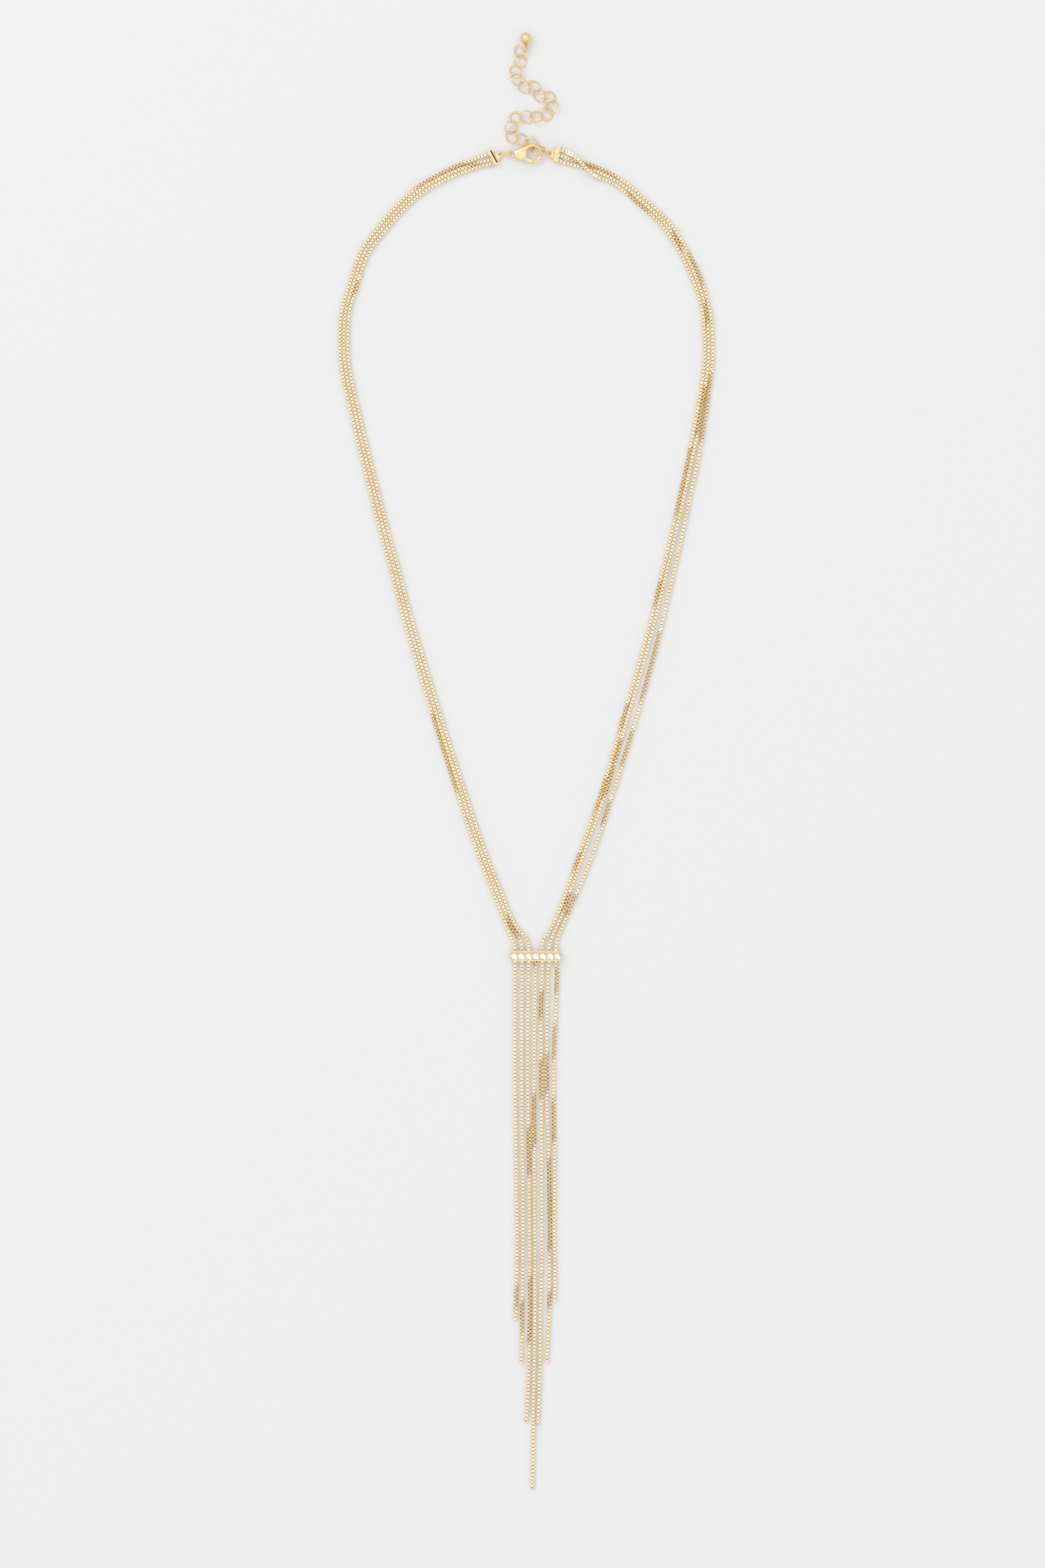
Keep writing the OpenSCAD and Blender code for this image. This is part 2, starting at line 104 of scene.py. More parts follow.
def ramp(node, stops):
    """Sets a colour ramp's stops, each a place and a hex colour."""
    elements = node.color_ramp.elements
    while len(elements) < len(stops):
        elements.new(0.5)
    for element, (place, colour) in zip(elements, stops):
        element.position = place
        element.color = linear(colour)
    return node


def new_material(name):
    """An empty node material and its output node."""
    material = bpy.data.materials.new(name)
    material.use_nodes = True
    material.node_tree.nodes.clear()
    return material, material.node_tree, add(material.node_tree, "ShaderNodeOutputMaterial")


def mesh_of(name, shape):
    """A mesh with a bmesh shape in it. The shape is freed."""
    mesh = bpy.data.meshes.new(name)
    shape.to_mesh(mesh)
    shape.free()
    return mesh


def add_object(name, data):
    """An object with this data, linked to the scene at the origin."""
    made = bpy.data.objects.new(name, data)
    scene.collection.objects.link(made)
    return made


print("white as linear light:", linear("#FFFFFF"))

# %% [markdown]
# ## Gold plating, polished
#
# The bar, the caps, the clasp and the rings are brass castings and wire with a thin bright plating of
# pale gold. Polishing leaves a surface that is nearly a mirror but not quite flat: a soft ripple of
# about 2 mm from the wheel, and fine hairlines under 0.1 mm. The ripple bends reflections and the
# hairlines make them a little cloudy. The hairlines are drawn at 0.12 mm so that they show. Corners get
# a painted shade: a browner colour multiplied into the gold where shade falls. Pointiness finds them:
# it is under 0.5 where a finely meshed surface is concave. The same function makes the dark brass of
# the cap's slot, with darker colours and a rougher surface; that darkness is partly tarnish and partly
# painted shade.

# %% Polished plating material
RIPPLE = 2 * MM
RIPPLE_DEPTH = 0.05 * MM
HAIRLINE = 0.12 * MM
HAIRLINE_DEPTH = 0.01 * MM
CLOUDINESS = 0.3


def polished_plating(name, pale, warm, corner_shade, roughness):
    """Mirror-bright gold plating over brass, with wheel ripple, hairlines and painted shade in its corners.
    """
    material, tree, output = new_material(name)
    place = add(tree, "ShaderNodeTexCoord").outputs["Object"]
    ripple = add(tree, "ShaderNodeTexNoise", {"Vector": place, "Scale": 1 / RIPPLE, "Detail": 2})
    hairlines = add(tree, "ShaderNodeTexNoise", {"Vector": place, "Scale": 1 / HAIRLINE, "Detail": 1})
    tone = ramp(add(tree, "ShaderNodeValToRGB", {"Fac": ripple.outputs["Fac"]}), [(0.3, warm), (0.7, pale)])
    pointiness = add(tree, "ShaderNodeNewGeometry").outputs["Pointiness"]
    # Painted shade: concave places take a darker colour, multiplied into the tone.
    hollow_shade = ramp(add(tree, "ShaderNodeValToRGB", {"Fac": pointiness}), [(0.45, corner_shade), (0.495, "#FFFFFF")])
    # A colour mix has its factor at socket 0, its colours at 6 and 7 and its result at output 2.
    colour = add(tree, "ShaderNodeMix", {0: 1.0, 6: tone.outputs["Color"], 7: hollow_shade.outputs["Color"]},
                 data_type="RGBA", blend_type="MULTIPLY")
    cloud = add(tree, "ShaderNodeMapRange", {
        "Value": hairlines.outputs["Fac"],
        "To Min": roughness * (1 - CLOUDINESS), "To Max": roughness * (1 + CLOUDINESS)})
    waves = add(tree, "ShaderNodeBump", {
        "Height": ripple.outputs["Fac"], "Strength": 0.35, "Distance": RIPPLE_DEPTH})
    lines = add(tree, "ShaderNodeBump", {
        "Height": hairlines.outputs["Fac"], "Strength": 0.12, "Distance": HAIRLINE_DEPTH,
        "Normal": waves.outputs["Normal"]})
    shader = add(tree, "ShaderNodeBsdfPrincipled", {
        "Base Color": colour.outputs[2], "Metallic": 1.0,
        "Roughness": cloud.outputs["Result"], "Normal": lines.outputs["Normal"]})
    tree.links.new(shader.outputs["BSDF"], output.inputs["Surface"])
    return material


# Dark brass for the cap's slot: partly tarnish, partly painted shade.
recess_tarnish_and_shade = polished_plating("oxidised_brass_recess", "#6B5A34", "#4A3C20", "#FFFFFF", 0.5)
# The third colour of each finish is the painted shade of its concave corners.
cast_gold = polished_plating("gold_plated_brass_casting", "#FAE3B8", "#F4D6A2", "#A88454", 0.17)
wire_gold = polished_plating("gold_plated_brass_wire", "#F5DBAE", "#EFCD98", "#C8A878", 0.16)
print("made", cast_gold.name, wire_gold.name, "and", recess_tarnish_and_shade.name)

# %% [markdown]
# ## Gold for the chains
#
# A box chain is stamped from strip and folded, link by link, so no two links lie quite alike or take
# the plating quite alike. Random Per Island gives every link its own number, and here that number
# shifts its colour a little. The flat plates are brighter than the castings, because each was
# burnished flat when the chain was diamond-rolled. The inside of the strip is duller, and its browner
# colour is a painted shade for the shade inside the links. It is what shows in the dark dash between
# two plates.

# %% Chain material
STRIP_GRAIN = 0.3 * MM  # rolling marks, a few to a plate
GRAIN_DEPTH = 0.02 * MM


def chain_plating(name, pale, warm, roughness):
    """Gold strip whose colour and polish change a little from link to link."""
    material, tree, output = new_material(name)
    place = add(tree, "ShaderNodeTexCoord").outputs["Object"]
    link_number = add(tree, "ShaderNodeNewGeometry").outputs["Random Per Island"]
    tone = ramp(add(tree, "ShaderNodeValToRGB", {"Fac": link_number}), [(0.0, warm), (1.0, pale)])
    grain = add(tree, "ShaderNodeTexNoise", {"Vector": place, "Scale": 1 / STRIP_GRAIN, "Detail": 2})
    cloud = add(tree, "ShaderNodeMapRange", {
        "Value": grain.outputs["Fac"],
        "To Min": roughness * (1 - CLOUDINESS), "To Max": roughness * (1 + CLOUDINESS)})
    bump = add(tree, "ShaderNodeBump", {
        "Height": grain.outputs["Fac"], "Strength": 0.3, "Distance": GRAIN_DEPTH})
    shader = add(tree, "ShaderNodeBsdfPrincipled", {
        "Base Color": tone.outputs["Color"], "Metallic": 1.0,
        "Roughness": cloud.outputs["Result"], "Normal": bump.outputs["Normal"]})
    tree.links.new(shader.outputs["BSDF"], output.inputs["Surface"])
    return material


chain_gold = chain_plating("gold_plated_box_chain", "#FCEDD0", "#F8E3BA", 0.22)
# The links' insides: darker, browner gold as a painted shade.
strip_inside_shade = chain_plating("gold_plated_strip_inside", "#E4CC92", "#D0B26E", 0.45)
print("made", chain_gold.name, "and", strip_inside_shade.name)

# %% [markdown]
# ## Foiled cut glass
#
# The seven stones are round cut glass with a silver foil behind, as in most costume jewellery. Light
# goes in through the crown, bounces off the foil below the girdle and comes back out, which is what
# makes them sparkle. One shader does both: above the girdle it is clear lead glass with an index of
# 1.56, and below it is a silver mirror. The height of the girdle comes from the CAD model.

# %% Stone material
GIRDLE = 2.3 * MM
FOIL_EDGE = GIRDLE + 0.01 * MM
TARNISH = 0.4 * MM  # faint clouds in the silver, a few to a stone


def foiled_glass(name):
    """Clear cut glass above the girdle and silver foil below it."""
    material, tree, output = new_material(name)
    place = add(tree, "ShaderNodeTexCoord").outputs["Object"]
    height = add(tree, "ShaderNodeSeparateXYZ", {"Vector": place}).outputs["Z"]
    foil = add(tree, "ShaderNodeMath", {0: height, 1: FOIL_EDGE}, operation="LESS_THAN").outputs["Value"]
    tarnish = add(tree, "ShaderNodeTexNoise", {"Vector": place, "Scale": 1 / TARNISH, "Detail": 3})
    tone = ramp(add(tree, "ShaderNodeValToRGB", {"Fac": tarnish.outputs["Fac"]}),
                [(0.35, "#EEF1F4"), (0.65, "#FFFFFF")])
    shader = add(tree, "ShaderNodeBsdfPrincipled", {
        "Base Color": tone.outputs["Color"], "Metallic": foil, "Roughness": 0.03,
        "IOR": 1.56, "Transmission Weight": 1.0})
    tree.links.new(shader.outputs["BSDF"], output.inputs["Surface"])
    return material


stone_glass = foiled_glass("foiled_cut_glass")
print("made", stone_glass.name)

# %% [markdown]
# ## Dress the CAD parts
#
# The ball and the oval link have their real shapes in the CAD model, so they only change material.

# %% Finish the ball and the oval link
for part, finish in (("end_ball", cast_gold), ("left_link", wire_gold)):
    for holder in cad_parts[part].material_slots:
        holder.material = finish
    print(finish.name, "on", part)

# %% [markdown]
# ### Copies that can change shape
#
# The CAD parts themselves never change. A part whose surface needs work is copied, its corners are
# merged into one closed skin, and modifiers work on the copy, which then stands in for the part. The
# copy is worked on in millimetres, because some modifiers round off values as small as 0.0001.

# %% Copy and finish helpers
MERGE_DISTANCE = 0.001  # mm


def copy_part(part):
    """A merged copy of a CAD part as a new object, in millimetres."""
    shape = bmesh.new()
    shape.from_mesh(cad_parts[part].data)
    bmesh.ops.scale(shape, vec=(1 / MM, 1 / MM, 1 / MM), verts=shape.verts)
    bmesh.ops.remove_doubles(shape, verts=shape.verts, dist=MERGE_DISTANCE)
    return add_object(part, mesh_of(part, shape))


def modified_mesh(piece):
    """A new mesh of a piece as its modifiers leave it."""
    return bpy.data.meshes.new_from_object(piece.evaluated_get(bpy.context.evaluated_depsgraph_get()))


def finish_copy(piece, name, part, body, finish):
    """Applies a copy's modifiers, brings it back to metres and lets it stand in for its part."""
    finished = modified_mesh(piece)
    finished.transform(Matrix.Scale(MM, 4))
    finished.shade_smooth()
    finished.materials.clear()
    finished.materials.append(finish)
    piece.modifiers.clear()
    piece.data = finished
    piece.name = finished.name = name
    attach(piece, body)
    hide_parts(part)


print("corners closer than", MERGE_DISTANCE, "mm are merged")

# %% [markdown]
# ## Wire rings
#
# The extender is a row of soldered rings of soft wire. In the CAD model they keep a small clearance, but
# real rings touch, and their wire is a little thicker. So each ring is a copy whose surface is pushed
# out along its normals with the Displace modifier, which keeps the ring's place and slope.

# %% Thicken the rings
WIRE_GROWTH = 0.045
RINGS = ["cap_ring", "ball_ring"] + [f"extender_ring_{n}" for n in range(1, 19)]

for part in RINGS:
    ring = copy_part(part)
    thicker = ring.modifiers.new("thicker_wire", "DISPLACE")
    thicker.strength = WIRE_GROWTH
    thicker.mid_level = 0
    finish_copy(ring, part + "_wire", part, "necklace", wire_gold)
print("rings:", len(RINGS), "faces in each:", len(ring.data.polygons))

# %% [markdown]
# ## Cutting the stones
#
# A stone is cut as a lapidary cuts it: a round blank is ground flat by flat. The crown has a table,
# eight kite facets and eight facets along the girdle, at the same places as in the CAD model. Below the
# girdle the CAD stone is a deep cone, but the foil sends most light back from a shallow back, so this
# copy has sixteen shallow facets there. Each flat is one cut with bisect_plane, and the open cut is
# filled at once. Lengths are in millimetres and angles in degrees.

# %% Cut seven stones
STONE_RADIUS = 1.13
STONE_PITCH = 2.56
STONE_Y = -0.1
CROWN_HEIGHT = 0.549
GIRDLE_EDGE = 0.08
TABLE_SHARE = 0.6
BLANK_SIDES = 48
KITES = 8
BACK_FACETS = 16
BACK_ANGLE = 6
KITE_ANGLE = math.degrees(math.atan2(CROWN_HEIGHT - GIRDLE_EDGE, (1 - TABLE_SHARE) * STONE_RADIUS))
GIRDLE_FACET_ANGLE = 59
GIRDLE_FACET_REACH = 1.02 * STONE_RADIUS


def grind(stone, azimuth, angle, reach, height):
    """Cuts one flat, sloping down outwards, through a point at a reach from the axis and a height."""
    direction = Matrix.Rotation(math.radians(azimuth), 3, "Z") @ Vector((1, 0, 0))
    tilt = math.radians(angle)
    cut = bmesh.ops.bisect_plane(
        stone, geom=stone.verts[:] + stone.edges[:] + stone.faces[:], dist=1e-5, clear_outer=True,
        plane_co=direction * reach + Vector((0, 0, height)),
        plane_no=direction * math.sin(tilt) + Vector((0, 0, math.cos(tilt))))
    rim = [item for item in cut["geom_cut"] if isinstance(item, bmesh.types.BMEdge)]
    bmesh.ops.edgeloop_fill(stone, edges=rim)


def cut_stone():
    """One stone in millimetres, its girdle's lower edge at height 0."""
    stone = bmesh.new()
    bmesh.ops.create_cone(stone, cap_ends=True, segments=BLANK_SIDES, radius1=STONE_RADIUS,
                          radius2=STONE_RADIUS, depth=2 * CROWN_HEIGHT)
    for k in range(KITES):
        grind(stone, 360 / KITES * k, KITE_ANGLE, STONE_RADIUS, GIRDLE_EDGE)
        grind(stone, 360 / KITES * (k + 0.5), GIRDLE_FACET_ANGLE, GIRDLE_FACET_REACH, GIRDLE_EDGE)
    for k in range(BACK_FACETS):
        grind(stone, 360 / BACK_FACETS * k, 180 - BACK_ANGLE, STONE_RADIUS, 0)
    bmesh.ops.recalc_face_normals(stone, faces=stone.faces)
    return stone


for n in range(1, 8):
    stone = cut_stone()
    bmesh.ops.translate(stone, vec=((n - 4) * STONE_PITCH, STONE_Y, GIRDLE / MM), verts=stone.verts)
    bmesh.ops.scale(stone, vec=(MM, MM, MM), verts=stone.verts)
    piece = add_object(f"cut_stone_{n}", mesh_of(f"cut_stone_{n}", stone))
    piece.data.materials.append(stone_glass)
    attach(piece, "necklace")
    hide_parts(f"stone_{n}")
print("faces in a stone:", len(piece.data.polygons))

# %% [markdown]
# ## Castings with soft edges
#
# The bar, the clasp, its lever and the two end caps are small castings. Their CAD solids have edges as
# sharp as a drawing's, but the wax, the casting and the polishing wheel each round an edge a little
# more. A bevel needs clean edges, and here too many curved faces meet. So a copy of each solid is
# remeshed into small even squares and smoothed a few times, which softens every edge at once. The list
# gives each part's body, the side of a square in millimetres and the rounds of smoothing. The bar gets
# the most, because its grains between the stones are soft beads.

# %% Soft copies of the castings
CASTINGS = {
    "left_end_cap": ("necklace", 0.07, 4),
    "right_end_cap": ("necklace", 0.07, 4),
    "stone_bar": ("necklace", 0.07, 8),
    "clasp_body": ("necklace", 0.07, 5),
    "clasp_lever": ("lever", 0.05, 4),
}

castings = {}
for part, (body, square, rounds) in CASTINGS.items():
    piece = castings[part] = copy_part(part)
    even = piece.modifiers.new("even_squares", "REMESH")
    even.mode = "VOXEL"
    even.voxel_size = square
    soft = piece.modifiers.new("soft_edges", "SMOOTH")
    soft.iterations = rounds
    finish_copy(piece, part + "_casting", part, body, cast_gold)
    print(piece.name, "faces:", len(piece.data.polygons))

# %% [markdown]
# ### The slot in the left cap
#
# The left cap lies with its slot up, where its folded halves meet. The polishing wheel doesn't reach
# into it, and brass turns dark where the plating is thin. So the faces inside the slot take a material
# of their own, whose dark colour is partly that tarnish and partly painted shade for the shade in the
# slot. They are found by their place, counted from the middle of the cap's bar, and the faces on the
# cap's underside are left out.

# %% Darken the slot
CAP_PLACE = Vector((-15, 281.6, 0)) * MM
CAP_TURN = 28.5
SLOT_MIDDLE = 0.36 * MM
SLOT_WIDTH = 0.4 * MM
SLOT_LENGTH = 4.8 * MM
SLOT_RIM = 2.0 * MM

left_cap = castings["left_end_cap"]
left_cap.data.materials.append(recess_tarnish_and_shade)
upright = Matrix.Rotation(math.radians(-CAP_TURN), 4, "Z") @ Matrix.Translation(-CAP_PLACE)
for face in left_cap.data.polygons:
    x, y, z = upright @ face.center
    across = abs(x - SLOT_MIDDLE) < 0.6 * SLOT_WIDTH
    along = abs(y) < 0.51 * SLOT_LENGTH
    if across and along and z < SLOT_RIM and face.normal.z > -0.5:
        # These faces take the dark slot colour, partly painted shade.
        face.material_index = 1
print("dark faces:", sum(face.material_index for face in left_cap.data.polygons))

# %% [markdown]
# ## The ways of the chains
#
# A chain follows a smooth curve through a few points. The same points are in the CAD model, in
# millimetres. Each side has one list for its middle chain: x, y, and how far the inner and the outer
# chain lie from it. The ends of the chains, where they rise into the caps and the bar, have their own
# lists of x, y and z.

# %% Way points of the side chains
REST = 0.63
OVER = 1.98
LEFT_ROUTE = [
    (-20.2, 279.6, 1.35, 1.8), (-25.1, 277.9, 1.35, 1.6), (-30, 276, 1.35, 1.5), (-35, 273.5, 1.35, 1.4),
    (-39.5, 271, 1.35, 1.35), (-44, 267.5, 1.35, 1.35), (-48, 263.5, 1.35, 1.35), (-52.5, 258.5, 1.35, 1.35),
    (-57, 253, 1.35, 1.35), (-60, 248.5, 1.35, 1.35), (-62.5, 242.5, 1.35, 1.35), (-64.5, 236, 1.35, 1.35),
    (-66.5, 229.5, 1.35, 1.35), (-67.5, 223, 1.35, 1.35), (-67.5, 211, 1.35, 1.35), (-66, 201.5, 1.35, 1.35),
    (-64, 193, 1.35, 1.35), (-61, 180, 1.35, 1.35), (-57.5, 166, 1.35, 1.35), (-53.5, 150, 1.35, 1.35),
    (-49.5, 135.5, 1.35, 1.35), (-45.5, 120, 1.35, 1.35), (-41, 105, 1.35, 1.35), (-36.5, 90, 1.35, 1.35),
    (-32, 75.5, 1.35, 1.35), (-27.5, 61.5, 1.35, 1.35), (-23, 47.5, 1.35, 1.35), (-18.5, 35, 1.35, 1.35),
    (-14, 23.5, 1.35, 1.35), (-10.1, 14, 1.3, 1.35),
]
RIGHT_ROUTE = [
    (25, 275, 1.4, 1.4), (28, 273.5, 1.35, 1.35), (32.5, 270.5, 1.35, 1.35), (37, 266.5, 1.35, 1.35),
    (41.5, 262.5, 1.35, 1.35), (46, 258, 1.35, 1.35), (49.5, 253, 1.35, 1.35), (52.5, 248, 1.35, 1.35),
    (55, 243, 1.35, 1.35), (57.5, 237, 1.35, 1.35), (59.5, 230.5, 1.35, 1.35), (60.5, 225, 1.35, 1.35),
    (61, 217.5, 1.35, 1.35), (61, 210, 1.35, 1.35), (60, 201.5, 1.35, 1.4), (58.5, 193, 1.35, 1.7),
    (56, 179, 1.35, 2), (53, 165, 1.35, 2.1), (49.5, 149.5, 1.35, 2.4), (46, 134.5, 1.35, 2.5),
    (42, 118, 1.35, 2.7), (37.5, 101.5, 1.35, 2.9), (33, 86, 1.35, 3), (28.5, 70.5, 1.35, 2.8),
    (24, 55.5, 1.35, 2.5), (19.5, 43, 1.35, 2.9), (15, 30.5, 1.35, 2.9), (11.1, 19.5, 1.35, 2.1),
    (8.8, 13.5, 1.35, 1.75),
]
LEFT_TOP = [
    [(-16, 283.1, 1), (-16.8, 282.7, 1), (-18.5, 282.1, 0.8)],
    [(-14.9, 281.1, 1), (-15.7, 280.7, 1), (-17.5, 280.3, 0.8)],
    [(-14.3, 279.9, 1), (-15.1, 279.5, 1), (-17.1, 278.9, 0.8)],
]
RIGHT_TOP = [
    [(7.9, 284.35, 1), (8.8, 284.2, 1), (10.2, 283.8, 0.9), (11.6, 283.2, 1.2), (13, 282.4, 1.7),
     (14.3, 281.4, OVER), (15.3, 280.4, OVER), (16.3, 279.3, OVER), (17.4, 278.2, OVER),
     (18.6, 277, OVER), (19.8, 275.9, OVER), (21, 275.1, OVER), (22.5, 274.4, 1.1)],
    [(7.3, 280.75, 1), (8.2, 280.57, 1), (9.6, 279.8, 0.7), (11.3, 279.3, REST), (13, 278.9, REST),
     (14.6, 278.6, REST), (16.2, 278.2, REST), (17.8, 277.7, REST), (19.4, 277.2, REST),
     (21, 276.7, REST), (22.8, 276.1, REST)],
    [(7.6, 282.53, 1), (8.5, 282.36, 1), (9.8, 281.9, 0.7), (11.3, 281.4, REST), (13, 280.8, REST),
     (14.6, 280.3, REST), (16.2, 279.9, REST), (17.8, 279.5, REST), (19.4, 279, REST),
     (21, 278.4, REST), (23.2, 277.4, REST)],
]
LEFT_FOOT = [
    [(-10.2, 10.3, REST), (-8.8, 6.8, REST), (-7.5, 4.4, 0.7), (-7.2, 2, 0.92), (-7.2, 0.3, 0.92)],
    [(-8.5, 10.4, REST), (-6.6, 7.3, REST), (-5.2, 4.8, 0.7), (-4.8, 2, 0.92), (-4.8, 0.3, 0.92)],
    [(-7.4, 11.5, REST), (-5.6, 8.8, REST), (-3.4, 6.6, REST), (-2.5, 4.2, 0.7), (-2.4, 2, 0.92),
     (-2.4, 0.3, 0.92)],
]
RIGHT_FOOT = [
    [(6.2, 10.9, REST), (4.7, 8.2, REST), (3, 6, REST), (2.3, 4, 0.7), (2.4, 2, 0.92), (2.4, 0.3, 0.92)],
    [(7.6, 10.6, REST), (6.3, 8, REST), (5.4, 5.4, REST), (4.9, 3.6, 0.75), (4.8, 2, 0.92), (4.8, 0.3, 0.92)],
    [(9.4, 10.2, REST), (8.4, 8, REST), (7.7, 5.6, REST), (7.3, 3.6, 0.75), (7.2, 2, 0.92), (7.2, 0.3, 0.92)],
]
print("way points of the middle chains:", len(LEFT_ROUTE), "left and", len(RIGHT_ROUTE), "right")

# %% [markdown]
# ### The ways of the fringe
#
# The fringe chains lie almost straight below the bar. Each list has a chain's sideways place
# every 15 mm, from 5 mm below the bar's middle, and the last list has their lower ends.

# %% Way points of the fringe chains
FIRST_STATION = -5
STATION_STEP = -15
BORE_PITCH = 2.4
BORE_HEIGHT = 0.92
FRINGE_X = [
    (-7.2, -7.3, -7.3, -7.2, -7, -6.8, -6.5, -6.6, -7),
    (-4.8, -4.9, -5, -4.9, -4.8, -4.5, -4.4, -4.5, -4.7, -5),
    (-2.5, -2.7, -2.8, -2.7, -2.4, -2.2, -2.1, -2, -2, -2.3, -2.7),
    (-0.1, -0.3, -0.5, -0.5, -0.5, -0.4, -0.4, -0.3, -0.3, -0.4, -0.7, -0.8, -1.1),
    (2.4, 1.9, 2, 2, 2.1, 2.1, 2.2, 2.1, 1.7, 1.6, 1.2),
    (4.5, 4.1, 4, 4, 4.5, 4.8, 5, 4.9, 4.8, 4.1),
    (7.6, 7.1, 6.5, 6.4, 6.6, 6.7, 6.5, 6.8),
]
FRINGE_END = [
    (-7.3, -128.5), (-5.1, -144), (-3.4, -164.5), (-1.2, -188), (0.7, -165.5), (4, -143.5), (6.7, -122),
]
print("fringe chains:", len(FRINGE_X))

# %% [markdown]
# ### Every chain's way
#
# The inner and the outer chain of a side lie beside its middle chain, so their points are that chain's,
# moved sideways. A fringe chain starts inside its own bore in the bar.

# %% Put the ways together
BORE_START = -0.3
BORE_MOUTH = -2


def beside(route, lane, inside_is_left):
    """The way beside a route: lane 1 is the inner chain, 0 the middle one and -1 the outer one."""
    way = []
    for i, (x, y, inner, outer) in enumerate(route):
        before, after = route[max(i - 1, 0)], route[min(i + 1, len(route) - 1)]
        left = Vector((before[1] - after[1], after[0] - before[0])).normalized()
        distance = inner if lane > 0 else outer
        offset = left * lane * distance * (1 if inside_is_left else -1)
        way.append((x + offset.x, y + offset.y, REST))
    return way


def fringe_way(n):
    """The way of fringe chain n, counted from 0 at the left."""
    bore = (n - 3) * BORE_PITCH
    hanging = [(x, FIRST_STATION + i * STATION_STEP, REST) for i, x in enumerate(FRINGE_X[n])]
    in_bore = [(bore, BORE_START, BORE_HEIGHT), (bore, BORE_MOUTH, BORE_HEIGHT)]
    return in_bore + hanging + [(*FRINGE_END[n], REST)]


ways = {}
for n in range(3):
    ways[f"left_strand_{n + 1}"] = LEFT_TOP[n] + beside(LEFT_ROUTE, n - 1, True) + LEFT_FOOT[n]
    ways[f"right_strand_{n + 1}"] = RIGHT_TOP[n] + beside(RIGHT_ROUTE, 1 - n, False) + RIGHT_FOOT[n]
for n in range(7):
    ways[f"tassel_strand_{n + 1}"] = fringe_way(n)
print("chains:", len(ways))

# %% [markdown]
# ## Where the chains are twisted
#
# A box chain lies flat on one of its four faces. Seen from above, a flat stretch shows bright plates
# with a dark dash between two of them. Where the chain takes a quarter turn to lie on its next face,
# it stands on its edge for a while: it shows two rows of small dots and looks darker and warmer,
# because both visible faces then mirror the sides of the room. Each pair below is a stretch on edge,
# in millimetres along the chain from its upper end. The chain turns by 45 degrees at the start of the
# stretch and by 45 more at its end.

# %% Twisted stretches
TWISTS = {
    "left_strand_1": [(10, 30), (228, 256)],
    "left_strand_2": [(6, 10), (302, 310)],
    "left_strand_3": [(66, 72)],
    "right_strand_1": [(30, 40), (128, 153), (176, 186), (221, 232), (248, 262), (276, 284)],
    "right_strand_2": [(9, 14), (50, 56), (77, 84), (106, 124), (234, 256), (291, 299)],
    "right_strand_3": [(5, 22), (60, 72), (103, 128), (196, 222), (232, 246), (258, 268), (293, 302)],
    "tassel_strand_1": [(116, 124)],
    "tassel_strand_2": [(121, 133)],
    "tassel_strand_3": [(60, 77), (113, 136)],
    "tassel_strand_4": [(0, 3), (48, 67)],
    "tassel_strand_5": [(12, 22), (36, 50)],
    "tassel_strand_6": [(34, 48), (71, 104), (118, 124)],
    "tassel_strand_7": [(3, 13), (24, 36), (50, 65)],
}
TURN_LENGTH = 5
EDGE_TURN = 45


def turned(distance, place):
    """0 before place, 1 after it, with a smooth turn of TURN_LENGTH between."""
    t = min(max((distance - place) / TURN_LENGTH + 0.5, 0), 1)
    return t * t * (3 - 2 * t)


def roll(chain, distance):
    """The chain's roll in degrees at a distance from its upper end."""
    return sum(EDGE_TURN * (turned(distance, start) + turned(distance, end)) for start, end in TWISTS[chain])


print("twisted stretches:", sum(len(stretches) for stretches in TWISTS.values()))

# %% [markdown]
# ## One link
#
# A link is a short square tube: a strip 0.84 mm wide, folded round so that it is open on two sides.
# A cube that has lost two faces has that shape. Its four folds get a small bevel, Solidify gives it the
# strip's thickness, and a last bevel takes the sharpness off the outer rims. That is 48 faces, few
# enough to repeat thousands of times. Its inner faces take the duller material with the painted shade,
# at index 1. Lengths are in millimetres.

# %% Fold one link from strip
LINK_LENGTH = 1.03
LINK_WIDTH = 1.28
STRIP_WIDTH = 0.84
STRIP_THICKNESS = 0.18
FOLD_RADIUS = 0.14
RIM_RADIUS = 0.035
FACING = 0.1


def outwards(face):
    """How far a face looks away from the link's middle: over FACING outside, under -FACING inside."""
    return face.normal.dot(face.calc_center_median())


def sideways(face):
    """Whether a face looks along Y, out of an open side."""
    return abs(face.normal.y) > 0.9


def round_edges(link, edges, radius):
    """Cuts one flat along each edge."""
    bmesh.ops.bevel(link, geom=edges, offset=radius, offset_type="OFFSET", segments=1, profile=0.5,
                    affect="EDGES", material=-1)


def folded_link():
    """One link in millimetres, with its middle at the origin and its open sides at -Y and +Y."""
    link = bmesh.new()
    bmesh.ops.create_cube(link, size=1)
    bmesh.ops.scale(link, vec=(LINK_LENGTH, STRIP_WIDTH, LINK_WIDTH), verts=link.verts)
    link.normal_update()
    bmesh.ops.delete(link, geom=[face for face in link.faces if sideways(face)], context="FACES_ONLY")
    round_edges(link, [edge for edge in link.edges if len(edge.link_faces) == 2], FOLD_RADIUS)
    bmesh.ops.solidify(link, geom=link.faces[:], thickness=STRIP_THICKNESS)
    link.normal_update()
    for face in link.faces:
        # Inner faces take material 1, the painted shade of the inside.
        face.material_index = 1 if outwards(face) < -FACING else 0
    rims = [edge for edge in link.edges if sum(sideways(face) for face in edge.link_faces) == 1
            and any(outwards(face) > FACING and abs(face.normal.y) < 0.1 for face in edge.link_faces)]
    round_edges(link, rims, RIM_RADIUS)
    return link


sample = folded_link()
print("faces in a link:", len(sample.faces), "volume in cubic mm:", round(sample.calc_volume(), 3))
sample.free()

